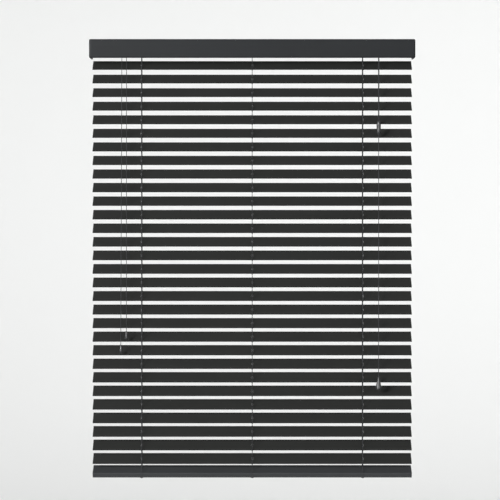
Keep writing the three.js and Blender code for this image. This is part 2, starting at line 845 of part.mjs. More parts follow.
addPiece('bottom_rail', railShape(), slatFinish(), railFrame);
for (const [name, x] of Object.entries(ladderPlaces)) {
  addPiece(`rail_plug_${name}`, plugShape(x), plasticFinish(), railFrame);
}

addPiece('lift_cords', liftCordsShape(), cordFinish());
addPiece('pull_cord', pullCordShape(), cordFinish());
addPiece('cord_equaliser', equaliserShape(), tasselFinish());
addPiece('lift_tassel', liftTasselShape(), tasselFinish());
for (const name of ['left', 'right']) {
  addPiece(`tilt_cord_${name}`, tiltCordShape(name), cordFinish());
  addPiece(`tilt_tassel_${name}`, tiltTasselShape(name), tasselFinish());
}
addPiece('ladder_front_centre', ladderShape(-1), cordFinish());
addPiece('ladder_rear_centre', ladderShape(1), cordFinish());

export default blind;
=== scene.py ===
"""Corded venetian blind with 50 mm slats. Lengths are in metres, +Z up, and the room is at -Y."""
import json
import math

import bmesh
import bpy
from mathutils import Matrix, Vector


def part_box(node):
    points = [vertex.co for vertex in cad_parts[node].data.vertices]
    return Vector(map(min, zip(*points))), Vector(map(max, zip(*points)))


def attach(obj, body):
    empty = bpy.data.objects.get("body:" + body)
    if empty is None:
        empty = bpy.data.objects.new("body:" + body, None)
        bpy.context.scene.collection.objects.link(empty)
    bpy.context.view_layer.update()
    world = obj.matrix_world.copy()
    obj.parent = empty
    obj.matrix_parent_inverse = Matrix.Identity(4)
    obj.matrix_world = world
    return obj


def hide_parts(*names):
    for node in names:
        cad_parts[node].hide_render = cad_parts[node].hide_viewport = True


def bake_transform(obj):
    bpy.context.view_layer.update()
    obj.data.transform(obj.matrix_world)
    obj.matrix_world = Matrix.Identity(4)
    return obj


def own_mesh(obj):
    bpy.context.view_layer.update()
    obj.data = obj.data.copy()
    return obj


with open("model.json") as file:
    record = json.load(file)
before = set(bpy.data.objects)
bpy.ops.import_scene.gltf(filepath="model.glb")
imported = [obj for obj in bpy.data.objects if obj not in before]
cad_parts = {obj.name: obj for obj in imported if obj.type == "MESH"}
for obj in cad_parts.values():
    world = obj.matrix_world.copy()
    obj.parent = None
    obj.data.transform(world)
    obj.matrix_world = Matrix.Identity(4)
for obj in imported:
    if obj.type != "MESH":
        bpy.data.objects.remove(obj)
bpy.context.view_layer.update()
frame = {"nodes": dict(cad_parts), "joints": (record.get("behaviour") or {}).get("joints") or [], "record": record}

# ------------------------------------------------------------------ places from the frame

behaviour = frame["record"]["behaviour"]
body_of_node = {node: body for body, nodes in behaviour["bodies"].items() for node in nodes}
slot_of_node = {part["node"]: part["material_slot"] for part in frame["record"]["subparts"]}
pivot = {joint["name"]: Vector(joint["pos_m"]) for joint in frame["joints"] if "pos_m" in joint}

slat_names = sorted(node for node in frame["nodes"] if node.startswith("slat_"))
slat_half_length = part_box(slat_names[0])[1].x
slat_heights = [pivot[f"{name}_tilt"].z for name in slat_names]
ladder_places = {
    name: (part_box(f"drum_{name}")[0].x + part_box(f"drum_{name}")[1].x) / 2
    for name in ("left", "centre", "right")
}
headrail_low, headrail_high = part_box("headrail")
rod_z = pivot["tilt"].z
worm_axis = pivot["worm_turn"]
pull_exit = pivot["pull_cord_swing"]
rail_pivot = pivot["rail_tilt"]

# ------------------------------------------------------------------ sizes

slat_width = 0.050
slat_thickness = 0.003
slat_corner = 0.0009             # radius of the four long edges
slat_tilt = math.radians(34.5)
slot_length = 0.018
slot_width = 0.005

string_radius = 0.0009
string_reach = 0.0272            # from a slat's middle to its ladder strings
rung_radius = 0.0008
rung_offset = 0.0016             # two strings under each slat, one on each side of the lift cord
drum_string_y = 0.0172
top_stretch_drop = 0.002         # below the headrail, where the ladder strings turn inwards

rail_width = 0.050
rail_thickness = 0.017
rail_corner = 0.002
rail_tilt = math.radians(24.3)
rail_edge_gap = 0.0015           # from the rail's edge to the middle of a ladder string
plug_length = 0.046
plug_width = 0.018
plug_height = 0.0035
fit_gap = 0.0003

valance_thickness = 0.007
cut_edge = 0.0004                # rounding of the sheet and moulded pieces' edges
fine_edge = 0.0003               # rounding of the smaller pieces' edges
tie_drop = 0.0003                # the rungs' ties, below a slat's middle
lift_cord_radius = 0.0009
lift_run_z = -0.0466
lock_x = pull_exit.x
lane_of = {"left": -0.003, "centre": 0.003, "right": 0.0}

tilt_cord_radius = 0.0009
tilt_tassel_top = {"left": -0.9635, "right": -0.921}
tilt_cord_lean = {"left": -0.004, "right": -0.001}
tilt_cord_travel = 0.1634        # of a tassel, at the longer limit of the tilt joint
pull_cord_radius = 0.001
pull_cord_top = -0.0479
equaliser_top = -0.257
equaliser_knot = -0.2768
lift_tassel_top = -1.066

# ------------------------------------------------------------------ camera

camera_data = bpy.data.cameras.new("camera")
camera_data.lens = 153
camera_data.sensor_width = 36
camera_data.shift_x = -0.0044
camera_data.shift_y = -0.0606
camera_data.clip_end = 60
camera = bpy.data.objects.new("camera", camera_data)
camera.location = (0, -6.74, -0.517)
camera.rotation_euler = (math.radians(89.55), 0, 0)
bpy.context.scene.collection.objects.link(camera)
bpy.context.scene.camera = camera

# ------------------------------------------------------------------ material tools


def node(tree, kind, inputs=None, **settings):
    """A shader node with its settings, whose inputs are constants or other nodes' outputs."""
    made = tree.nodes.new(kind)
    for key, value in settings.items():
        setattr(made, key, value)
    for key, value in (inputs or {}).items():
        if isinstance(value, bpy.types.NodeSocket):
            tree.links.new(value, made.inputs[key])
        else:
            made.inputs[key].default_value = value
    return made


def calculate(tree, operation, first, second):
    return node(tree, "ShaderNodeMath", {0: first, 1: second}, operation=operation).outputs[0]


def remap(tree, value, low, high, source=(0.0, 1.0)):
    return node(tree, "ShaderNodeMapRange", {
        "Value": value,
        "From Min": source[0],
        "From Max": source[1],
        "To Min": low,
        "To Max": high,
    }).outputs[0]


def blank(name, roughness, metallic=0.0, specular=0.5):
    """A material with its constant settings on the shader's own sockets."""
    material = bpy.data.materials.new(name)
    material.use_nodes = True
    tree = material.node_tree
    shader = tree.nodes["Principled BSDF"]
    shader.inputs["Roughness"].default_value = roughness
    shader.inputs["Metallic"].default_value = metallic
    shader.inputs["Specular IOR Level"].default_value = specular
    return material, tree, shader


def object_noise(tree, scale, detail=3.0, stretch=(1, 1, 1), drift=0.0):
    """Noise over the object's own coordinates, shifted by a random amount for each object."""
    place = node(tree, "ShaderNodeTexCoord").outputs["Object"]
    random = node(tree, "ShaderNodeObjectInfo").outputs["Random"]
    shift = node(tree, "ShaderNodeCombineXYZ", {"X": calculate(tree, "MULTIPLY", random, drift)})
    mapping = node(tree, "ShaderNodeMapping", {
        "Vector": place,
        "Location": shift.outputs[0],
        "Scale": stretch,
    })
    noise = node(tree, "ShaderNodeTexNoise", {
        "Vector": mapping.outputs[0],
        "Scale": scale,
        "Detail": detail,
    })
    return noise.outputs["Fac"]


def shaded(tree, shader, value, colour, spread):
    """Colours the surface between two shades of one colour."""
    mix = node(tree, "ShaderNodeMix", data_type="RGBA")
    tree.links.new(value, mix.inputs["Factor"])
    mix.inputs["A"].default_value = (*[channel * (1 - spread) for channel in colour], 1)
    mix.inputs["B"].default_value = (*[channel * (1 + spread) for channel in colour], 1)
    tree.links.new(mix.outputs["Result"], shader.inputs["Base Color"])
    return mix.outputs["Result"]


def bumped(tree, shader, height, distance, strength=1.0):
    bump = node(tree, "ShaderNodeBump", {
        "Height": height,
        "Distance": distance,
        "Strength": strength,
    })
    tree.links.new(bump.outputs[0], shader.inputs["Normal"])


# ------------------------------------------------------------------ materials


def satin_paint(name, colour, roughness, specular, painted_edge_shade=1.0):
    """Paint on a wooden board, with faint grain. Faces that look along Y, the long edges, keep only the last
    argument's share of the colour and specular: painted shade for dark edges.
    """
    material, tree, shader = blank(name, roughness)
    grain = object_noise(tree, 60, 6, (0.06, 2.5, 2.5), 7)
    cloud = object_noise(tree, 9, 2, (0.4, 1, 1), 3)
    shade = calculate(tree, "MULTIPLY", calculate(tree, "ADD", grain, cloud), 0.5)
    paint = shaded(tree, shader, shade, colour, 0.22)
    # painted shade: faces that look along Y get less colour and less specular
    facing = node(tree, "ShaderNodeSeparateXYZ", {0: node(tree, "ShaderNodeTexCoord").outputs["Normal"]})
    edge = calculate(tree, "ABSOLUTE", facing.outputs[1], 0)
    share = remap(tree, edge, 1.0, painted_edge_shade, (0.5, 0.95))
    paint_with_painted_shade = node(tree, "ShaderNodeVectorMath", {0: paint, "Scale": share}, operation="SCALE")
    tree.links.new(paint_with_painted_shade.outputs[0], shader.inputs["Base Color"])
    tree.links.new(calculate(tree, "MULTIPLY", share, specular), shader.inputs["Specular IOR Level"])
    tree.links.new(remap(tree, cloud, roughness - 0.05, roughness + 0.07), shader.inputs["Roughness"])
    bumped(tree, shader, grain, 0.00012, 0.5)
    return material


def powder_coat(name, colour, roughness):
    """Powder coated steel with its fine orange peel."""
    material, tree, shader = blank(name, roughness)
    peel = object_noise(tree, 700, 2)
    shaded(tree, shader, object_noise(tree, 14, 3), colour, 0.12)
    tree.links.new(remap(tree, peel, roughness - 0.05, roughness + 0.08), shader.inputs["Roughness"])
    bumped(tree, shader, peel, 0.00006, 0.6)
    return material


def drawn_metal(name, colour, roughness, scale=260):
    """Plated metal with fine marks along its length."""
    material, tree, shader = blank(name, roughness, metallic=1.0)
    marks = object_noise(tree, scale, 5, (0.05, 1, 1))
    shaded(tree, shader, marks, colour, 0.15)
    tree.links.new(remap(tree, marks, roughness - 0.1, roughness + 0.12), shader.inputs["Roughness"])
    bumped(tree, shader, marks, 0.00003, 0.4)
    return material


def moulding(name, colour, roughness, texture, spread=0.08, specular=0.5, subsurface=0.0):
    """Moulded plastic with a fine spark-eroded texture."""
    material, tree, shader = blank(name, roughness, specular=specular)
    shader.inputs["Subsurface Weight"].default_value = subsurface
    shader.inputs["Subsurface Scale"].default_value = 0.002
    fine = object_noise(tree, 1600, 2)
    shaded(tree, shader, object_noise(tree, 25, 2), colour, spread)
    tree.links.new(remap(tree, fine, roughness - 0.06, roughness + 0.06), shader.inputs["Roughness"])
    bumped(tree, shader, fine, texture, 0.5)
    return material


def braid(name, colour, strands, lay):
    """Braided polyester: two sets of strands that cross, drawn round and along the cord by its UVs."""
    material, tree, shader = blank(name, 0.85, specular=0.25)
    shader.inputs["Sheen Weight"].default_value = 0.15
    place = node(tree, "ShaderNodeSeparateXYZ", {0: node(tree, "ShaderNodeUVMap").outputs[0]})
    turn = calculate(tree, "MULTIPLY", place.outputs[0], 2 * math.pi * strands)
    climb = calculate(tree, "MULTIPLY", place.outputs[1], 2 * math.pi * lay)
    right = calculate(tree, "SINE", calculate(tree, "ADD", turn, climb), 0)
    left = calculate(tree, "SINE", calculate(tree, "SUBTRACT", turn, climb), 0)
    height = calculate(tree, "MAXIMUM", right, left)
    fuzz = object_noise(tree, 2400, 2)
    shaded(tree, shader, remap(tree, calculate(tree, "ADD", height, fuzz), -0.4, 1.1), colour, 0.35)
    bumped(tree, shader, height, 0.00018, 0.8)
    return material


looks = {
    # the slats' long edges are darkened to 0.35 of their colour and specular, as painted shade
    "slat": satin_paint("slat_paint", (0.0195, 0.0202, 0.0192), 0.48, 0.24, 0.35),
    "valance": satin_paint("valance_paint", (0.0094, 0.0108, 0.0121), 0.52, 0.18),
    "bottom_rail": satin_paint("rail_paint", (0.0290, 0.0312, 0.0330), 0.46, 0.28),
    "headrail_steel": powder_coat("headrail_coat", (0.030, 0.031, 0.033), 0.38),
    "rod_steel": drawn_metal("zinc_plate", (0.45, 0.46, 0.46), 0.32),
    "nylon": moulding("natural_nylon", (0.66, 0.64, 0.58), 0.42, 0.00003, subsurface=0.15),
    "moulded_plastic": moulding("black_moulding", (0.020, 0.021, 0.022), 0.5, 0.00005, specular=0.35),
    "brass": drawn_metal("brass_roller", (0.62, 0.45, 0.17), 0.30, 420),
    "cord": braid("cord_braid", (0.020, 0.021, 0.023), 4, 1.1),
    "ladder_string": braid("ladder_braid", (0.020, 0.021, 0.023), 3, 1.4),
    "tassel": moulding("tassel_moulding", (0.018, 0.019, 0.020), 0.33, 0.00003, specular=0.5),
}
clear_plastic = moulding("clip_plastic", (0.42, 0.43, 0.43), 0.28, 0.00002)

# ------------------------------------------------------------------ shape tools


def smoothed(piece, sharp_deg=35):
    piece.data.shade_smooth()
    piece.data.set_sharp_from_angle(angle=math.radians(sharp_deg))
    return piece


def mesh_piece(name, vertices, faces, corner_uvs=None, sharp_deg=35):
    """A new object from points and faces, with a UV for each corner of each face if they are given."""
    mesh = bpy.data.meshes.new(name)
    mesh.from_pydata([tuple(point) for point in vertices], [], faces)
    if corner_uvs:
        layer = mesh.uv_layers.new(name="UVMap")
        for item, uv in zip(layer.data, corner_uvs):
            item.uv = uv
    piece = bpy.data.objects.new(name, mesh)
    bpy.context.scene.collection.objects.link(piece)
    return smoothed(piece, sharp_deg)


def baked(piece):
    """Turns a piece's modifiers into mesh."""
    graph = bpy.context.evaluated_depsgraph_get()
    mesh = bpy.data.meshes.new_from_object(piece.evaluated_get(graph))
    piece.modifiers.clear()
    piece.data = mesh
    return piece


def softened(piece, width, segments=2, limit_deg=32):
    """Rounds a piece's edges and keeps its flat faces flat."""
    bevel = piece.modifiers.new("edges", "BEVEL")
    bevel.width = width
    bevel.segments = segments
    bevel.limit_method = "ANGLE"
    bevel.angle_limit = math.radians(limit_deg)
    bevel.use_clamp_overlap = False
    weighted = piece.modifiers.new("normals", "WEIGHTED_NORMAL")
    weighted.keep_sharp = True
    piece.data.shade_smooth()
    return baked(piece)


def dress(piece, slot, body):
    """Gives a piece its material, and has it ride on a body."""
    piece.data.materials.clear()
    piece.data.materials.append(looks[slot])
    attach(piece, body)
    return piece


def stand_for(piece, cad_node):
    """Puts a piece in the place of the CAD node that it refines."""
    dress(piece, slot_of_node[cad_node], body_of_node[cad_node])
    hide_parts(cad_node)
    return piece


def refined(cad_node, width, segments=2):
    """The shape of a CAD node with its edges rounded."""
    work = bmesh.new()
    work.from_mesh(frame["nodes"][cad_node].data)
    bmesh.ops.remove_doubles(work, verts=work.verts, dist=1e-5)
    bmesh.ops.dissolve_limit(work, angle_limit=math.radians(1), verts=work.verts, edges=work.edges)
    mesh = bpy.data.meshes.new(f"{cad_node}_fine")
    work.to_mesh(mesh)
    work.free()
    piece = bpy.data.objects.new(f"{cad_node}_fine", mesh)
    bpy.context.scene.collection.objects.link(piece)
    return stand_for(softened(piece, width, segments), cad_node)


def arc(centre, radius, from_deg, to_deg, steps):
    angles = [math.radians(from_deg + (to_deg - from_deg) * step / steps) for step in range(steps + 1)]
    return [(centre[0] + radius * math.cos(a), centre[1] + radius * math.sin(a)) for a in angles]


def drawn_along_x(name, outline, low, high):
    """A [y, z] outline drawn out from low to high along X."""
    count = len(outline)
    vertices = [(x, y, z) for x in (low, high) for y, z in outline]
    faces = [tuple(reversed(range(count))), tuple(range(count, 2 * count))]
    for i in range(count):
        following = (i + 1) % count
        faces.append((i, following, count + following, count + i))
    return mesh_piece(name, vertices, faces)


def curve_through(points, steps=6):
    """A smooth curve through [radius, height] points (Catmull-Rom)."""
    padded = [points[0], *points, points[-1]]
    curve = []
    for before, start, end, after in zip(padded, padded[1:], padded[2:], padded[3:]):
        for step in range(steps):
            t = step / steps
            curve.append(tuple(
                0.5 * (2 * b + (c - a) * t + (2 * a - 5 * b + 4 * c - d) * t * t
                       + (3 * b - a - 3 * c + d) * t ** 3)
                for a, b, c, d in zip(before, start, end, after)
            ))
    return [(max(radius, 0), height) for radius, height in [*curve, points[-1]]]


def turned(name, profile, place, segments=32, sharp_deg=40):
    """A solid of revolution from [radius, height] points, moved from the Z axis by a matrix."""
    vertices = []
    faces = []
    for radius, height in profile:
        for step in range(segments):
            angle = 2 * math.pi * step / segments
            vertices.append(place @ Vector((radius * math.cos(angle), radius * math.sin(angle), height)))
    for ring in range(len(profile) - 1):
        for step in range(segments):
            following = (step + 1) % segments
            low, high = ring * segments, (ring + 1) * segments
            faces.append((low + step, low + following, high + following, high + step))
    piece = mesh_piece(name, vertices, faces)
    work = bmesh.new()
    work.from_mesh(piece.data)
    bmesh.ops.remove_doubles(work, verts=work.verts, dist=1e-6)
    bmesh.ops.recalc_face_normals(work, faces=work.faces)
    work.to_mesh(piece.data)
    work.free()
    return smoothed(piece, sharp_deg)


def route(points, bend=0.004, steps=5):
    """A path through points, with a round bend at each corner."""
    points = [Vector(point) for point in points]
    path = [points[0]]
    for before, corner, after in zip(points, points[1:], points[2:]):
        reach = min(bend, (corner - before).length / 2, (after - corner).length / 2)
        start = corner + (before - corner).normalized() * reach
        end = corner + (after - corner).normalized() * reach
        for step in range(steps + 1):
            t = step / steps
            path.append(start * (1 - t) ** 2 + corner * 2 * t * (1 - t) + end * t * t)
    return [*path, points[-1]]


def spaced(points, count):
    """About count points at even distances along a path."""
    points = [Vector(point) for point in points]
    total = sum((b - a).length for a, b in zip(points, points[1:]))
    path = [points[0]]
    for a, b in zip(points, points[1:]):
        parts = max(1, round(count * (b - a).length / total))
        path.extend(a.lerp(b, part / parts) for part in range(1, parts + 1))
    return path


def tube(name, path, radius, sides=10):
    """A round cord along a path. Its UVs run once round it, and along it in diameters."""
    path = [Vector(point) for point in path]
    normal = Vector((1, 0, 0)) if abs((path[1] - path[0]).normalized().x) < 0.9 else Vector((0, 1, 0))
    vertices = []
    along = [0.0]
    for a, b in zip(path, path[1:]):
        along.append(along[-1] + (b - a).length / (2 * radius))
    for i, point in enumerate(path):
        tangent = (path[min(i + 1, len(path) - 1)] - path[max(i - 1, 0)]).normalized()
        normal = (normal - tangent * normal.dot(tangent)).normalized()
        across = tangent.cross(normal)
        for side in range(sides):
            angle = 2 * math.pi * side / sides
            vertices.append(point + radius * (math.cos(angle) * normal + math.sin(angle) * across))
    faces = [tuple(reversed(range(sides))), tuple(range(len(vertices) - sides, len(vertices)))]
    uvs = [(0.5, 0.0)] * (2 * sides)
    for ring in range(len(path) - 1):
        for side in range(sides):
            following = (side + 1) % sides
            low, high = ring * sides, (ring + 1) * sides
            faces.append((low + side, low + following, high + following, high + side))
            left, right = side / sides, (side + 1) / sides
            bottom, top = along[ring], along[ring + 1]
            uvs.extend([(left, bottom), (right, bottom), (right, top), (left, top)])
    return mesh_piece(name, vertices, faces, uvs, 60)


def joined(name, pieces):
    """One object out of several that have the same material."""
    work = bmesh.new()
    for piece in pieces:
        piece.data.transform(piece.matrix_world)
        work.from_mesh(piece.data)
    mesh = bpy.data.meshes.new(name)
    work.to_mesh(mesh)
    work.free()
    for piece in pieces:
        bpy.data.objects.remove(piece)
    whole = bpy.data.objects.new(name, mesh)
    bpy.context.scene.collection.objects.link(whole)
    return smoothed(whole)


# ------------------------------------------------------------------ cords


def tilt_cord(name):
    """A cord that hangs from the tilter's pulley, with its tassel and the length that it pays out."""
    start = pivot[f"tilt_cord_{name}_swing"]
    end = Vector((start.x + tilt_cord_lean[name], start.y, tilt_tassel_top[name]))
    upward = (start - end).normalized()
    path = spaced([start, end], 24)
    cord = stand_for(tube(f"tilt_cord_{name}_fine", path, tilt_cord_radius), f"tilt_cord_{name}")
    spare_length = 2 * tilt_cord_travel + 0.02
    spare = tube(f"tilt_cord_{name}_spare", [end, end + upward * spare_length], 0.94 * tilt_cord_radius)
    dress(spare, "cord", f"tilt_tassel_{name}")
    tassel = turned(f"tilt_tassel_{name}_fine", tilt_tassel_profile(), Matrix.Translation(end))
    stand_for(tassel, f"tilt_tassel_{name}")
    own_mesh(cord)


def tilt_tassel_profile():
    """A small acorn with a rounded foot and a collar where the cord goes in."""
    body = curve_through([
        (0.0040, -0.0243),
        (0.0045, -0.0225),
        (0.0044, -0.0185),
        (0.0036, -0.0120),
        (0.0025, -0.0055),
        (0.0020, -0.0028),
    ])
    foot = [(0, -0.0242), (0.0028, -0.0243), (0.0031, -0.0249), (0.0037, -0.0249)]
    collar = [(0.0024, -0.0026), (0.0024, -0.0008), (0.0020, 0), (0.0010, 0), (0.0010, -0.001), (0, -0.001)]
    return [*foot, *body, *collar]


def lift_tassel_profile():
    """A bell with a flared mouth and a neck."""
    bell = curve_through([
        (0.0086, -0.0392),
        (0.0095, -0.0370),
        (0.0091, -0.0320),
        (0.0068, -0.0215),
        (0.0048, -0.0130),
        (0.0036, -0.0060),
        (0.0033, -0.0032),
    ])
    mouth = [(0, -0.030), (0.0060, -0.0310), (0.0072, -0.0390), (0.0080, -0.0395)]
    neck = [(0.0037, -0.0030), (0.0037, -0.0010), (0.0028, 0), (0.0011, 0), (0.0011, -0.002), (0, -0.002)]
    return [*mouth, *bell, *neck]


def equaliser_profile():
    """A hollow barrel: three cords go in at its top and one comes out at its foot."""
    outside = curve_through([
        (0.0041, -0.0440),
        (0.0060, -0.0395),
        (0.0067, -0.0310),
        (0.0068, -0.0200),
        (0.0067, -0.0100),
        (0.0056, -0.0030),
        (0.0040, 0.0000),
    ])
    inside = [(0.0030, -0.0001), (0.0029, -0.0015), (0.0044, -0.0050), (0.0052, -0.0110),
              (0.0052, -0.0310), (0.0025, -0.0400), (0.0014, -0.0405), (0.0014, -0.0440)]
    return [*outside, *inside, outside[0]]


def pull_cord():
    """Three tails from the cord lock to a knot in the equaliser, and one cord on to the bell."""
    top = Vector((pull_exit.x, pull_exit.y, pull_cord_top))
    knot = Vector((top.x, top.y, equaliser_knot))
    end = Vector((top.x, top.y, lift_tassel_top))
    at = Matrix.Translation
    equaliser = turned("cord_equaliser_fine", equaliser_profile(), at((top.x, top.y, equaliser_top)))
    stand_for(equaliser, "cord_equaliser")
    tassel = stand_for(turned("lift_tassel_fine", lift_tassel_profile(), at(end), 40), "lift_tassel")
    behind = Vector((0, 0.0013, 0))
    main_path = spaced([top + behind, knot + behind + Vector((0, 0, 0.02)), knot, end], 26)
    main = stand_for(tube("pull_cord_fine", main_path, pull_cord_radius), "pull_cord")
    for name, side in (("left", -1), ("right", 1)):
        offset = Vector((side * 0.0011, -0.0006, 0))
        path = spaced([top + offset, knot + offset], 16)
        tail = dress(tube(f"pull_cord_tail_{name}", path, lift_cord_radius), "cord", "pull_cord")


for side_name in ("left", "right"):
    tilt_cord(side_name)
pull_cord()


def lift_cords():
    """Each lift cord: out of the bottom rail, up through the slots and along the headrail to the lock."""
    out_of_rail = Vector((0, -math.sin(rail_tilt), math.cos(rail_tilt)))
    rail_top = rail_pivot + out_of_rail * rail_thickness / 2
    lock_entry = lock_x - 0.011
    meeting = Vector((lock_x, -0.0200, lift_run_z + 0.001))
    for name, x in ladder_places.items():
        along_x = Vector((x, 0, 0))
        path = route([
            along_x + rail_top - out_of_rail * 0.003,
            along_x + rail_top + out_of_rail * 0.002,
            (x, 0, slat_heights[-1] - 0.006),
            (x, 0, lift_run_z),
            (x + 0.018, lane_of[name], lift_run_z),
            (lock_entry, lane_of[name], lift_run_z),
            meeting,
            (lock_x, pull_exit.y + 0.001, lift_run_z + 0.001),
            (lock_x, pull_exit.y, lift_run_z),
        ], 0.0015)
        cord = dress(tube(f"lift_cord_{name}", path, lift_cord_radius), "cord", "head")
        if name == "left":
            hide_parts("lift_cords")


lift_cords()

# ------------------------------------------------------------------ slats


def slat_mesh():
    """A slat lying flat at the origin: rounded edges, and an obround slot at each ladder."""
    y = slat_width / 2 - slat_corner
    z = slat_thickness / 2 - slat_corner
    outline = [
        *arc((y, z), slat_corner, 0, 90, 6),
        *arc((-y, z), slat_corner, 90, 180, 6),
        *arc((-y, -z), slat_corner, 180, 270, 6),
        *arc((y, -z), slat_corner, 270, 360, 6),
    ]
    board = drawn_along_x("slat_board", outline, -slat_half_length, slat_half_length)
    slot_half = slot_width / 2
    reach = slot_length / 2 - slot_half
    slot_outline = [*arc((0, reach), slot_half, 0, 180, 8), *arc((0, -reach), slot_half, 180, 360, 8)]
    vertices = []
    faces = []
    count = len(slot_outline)
    for x in ladder_places.values():
        start = len(vertices)
        for z in (-slat_thickness, slat_thickness):
            vertices.extend((x + a, b, z) for a, b in slot_outline)
        faces.append(tuple(start + i for i in reversed(range(count))))
        faces.append(tuple(start + count + i for i in range(count)))
        for i in range(count):
            following = (i + 1) % count
            faces.append((start + i, start + following, start + count + following, start + count + i))
    cutter = mesh_piece("slot_cutter", vertices, faces)
    cut = board.modifiers.new("slots", "BOOLEAN")
    cut.object = cutter
    cut.solver = "EXACT"
    baked(board)
    bpy.data.objects.remove(cutter)
    softened(board, fine_edge, 2, 50)
    mesh = board.data
    bpy.data.objects.remove(board)
    mesh.materials.clear()
    mesh.materials.append(looks["slat"])
    return mesh


def rung_mesh():
    """The strings under one slat at the three ladders, and their knots on the upright strings."""
    under = -(slat_thickness / 2 + rung_radius + 0.00025)
    pieces = []
    for x in ladder_places.values():
        for side in (-1, 1):
            at = x + side * rung_offset
            path = route([
                (x, -string_reach, -tie_drop),
                (at, -string_reach + 0.0022, -0.0010),
                (at, -slat_width / 2 + 0.0015, under),
                (at, slat_width / 2 - 0.0015, under),
                (at, string_reach - 0.0022, -0.0010),
                (x, string_reach, -tie_drop),
            ], 0.0008, 3)
            pieces.append(tube("rung", path, rung_radius, 8))
            low = Vector((x, side * string_reach, -tie_drop)) - Vector((0, 0, 0.0022))
            knot = [low + Vector((0, 0, height)) for height in (0, 0.0009, 0.0035, 0.0044)]
            pieces.append(tube("knot", knot, 0.00125, 10))
    rungs = joined("rungs", pieces)
    mesh = rungs.data
    bpy.data.objects.remove(rungs)
    mesh.materials.append(looks["ladder_string"])
    return mesh


def shared_piece(name, mesh, height, body):
    piece = bpy.data.objects.new(name, mesh)
    bpy.context.scene.collection.objects.link(piece)
    piece.location = (0, 0, height)
    piece.rotation_euler = (slat_tilt, 0, 0)
    bpy.context.view_layer.update()
    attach(piece, body)
    return piece


board_mesh = slat_mesh()
string_mesh = rung_mesh()
for slat_name, slat_height in zip(slat_names, slat_heights):
    slat = shared_piece(f"{slat_name}_board", board_mesh, slat_height, slat_name)
    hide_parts(slat_name)
    shared_piece(f"{slat_name}_rungs", string_mesh, slat_height, slat_name)

# ------------------------------------------------------------------ ladders


def on_rail(x, y, z):
    """A point of the bottom rail's own frame, in the blind's frame."""
    return rail_pivot + Matrix.Rotation(rail_tilt, 3, "X") @ Vector((x, y, z))


def ladder_upright(name, x, side, body):
    """A string from the top slat's edge down past every slat and round the rail's edge to the plug."""
    y = side * string_reach * math.cos(slat_tilt)
    tie = side * string_reach * math.sin(slat_tilt)
    edge = side * (rail_width / 2 + rail_edge_gap)
    half = rail_thickness / 2
    beneath = -half - string_radius - fit_gap
    path = route([
        (x, y, slat_heights[0] + tie + 0.001),
        (x, y, slat_heights[-1] + tie - 0.004),
        on_rail(x, edge, half - 0.001 if side < 0 else 0.001),
        on_rail(x, edge, -half),
        on_rail(x, edge - side * 0.0015, beneath),
        on_rail(x, side * (plug_length / 2 - 0.002), beneath),
    ], 0.0016)
    return dress(tube(name, path, string_radius), "ladder_string", body)


def ladder_top(name, x, side):
    """The stretch from the drum down to the top slat."""
    y = side * string_reach * math.cos(slat_tilt)
    tie = slat_heights[0] + side * string_reach * math.sin(slat_tilt)
    turn_z = headrail_low.z - top_stretch_drop
    path = route([
        (x, side * drum_string_y, rod_z),
        (x, side * drum_string_y, turn_z),
        (x, y, tie),
        (x, y, tie - 0.002),
    ], 0.003)
    dense = spaced(path, 40)
    piece = tube(name, dense, string_radius)
    piece.data.materials.append(looks["ladder_string"])
    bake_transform(piece)


def drum_wraps(name, x):
    """The turns of ladder string on a drum."""
    turns = 2.5
    steps = 80
    path = []
    for step in range(steps + 1):
        share = step / steps
        angle = 2 * math.pi * turns * share
        across = x + (share - 0.5) * turns * 0.002
        path.append((across, drum_string_y * math.cos(angle), rod_z + drum_string_y * math.sin(angle)))
    dress(tube(f"drum_wraps_{name}", path, string_radius), "ladder_string", "tilt_shaft")


for ladder_name, ladder_x in ladder_places.items():
    for side_name, side in (("front", -1), ("rear", 1)):
        string_body = f"ladder_{side_name}"
        upright = ladder_upright(f"{string_body}_{ladder_name}_fine", ladder_x, side, string_body)
        if ladder_name == "centre":
            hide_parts(f"ladder_{side_name}_centre")
        ladder_top(f"ladder_{side_name}_{ladder_name}_top", ladder_x, side)
    drum_wraps(ladder_name, ladder_x)

# ------------------------------------------------------------------ bottom rail

rail_place = Matrix.Translation(rail_pivot) @ Matrix.Rotation(rail_tilt, 4, "X")


def placed(piece, matrix):
    piece.data.transform(matrix)
    return piece


def rail_board():
    """A board with rounded long edges."""
    y = rail_width / 2 - rail_corner
    z = rail_thickness / 2 - rail_corner
    outline = [
        *arc((y, z), rail_corner, 0, 90, 6),
        *arc((-y, z), rail_corner, 90, 180, 6),
        *arc((-y, -z), rail_corner, 180, 270, 6),
        *arc((y, -z), rail_corner, 270, 360, 6),
    ]
    board = drawn_along_x("bottom_rail_fine", outline, -slat_half_length, slat_half_length)
    softened(board, 0.0006, 2, 50)
    stand_for(placed(board, rail_place), "bottom_rail")


def eyelet(name, x):
    """A moulded ring where a lift cord goes into the rail."""
    profile = [(0.0014, -0.0005), (0.0030, -0.0005), (0.0047, 0.0001), (0.0050, 0.0004),
               (0.0047, 0.0008), (0.0036, 0.0010), (0.0026, 0.0008), (0.0018, 0.0002), (0.0014, -0.0005)]
    at = rail_place @ Matrix.Translation((x, 0, rail_thickness / 2))
    dress(turned(f"rail_eyelet_{name}", profile, at, 28), "moulded_plastic", "rail")


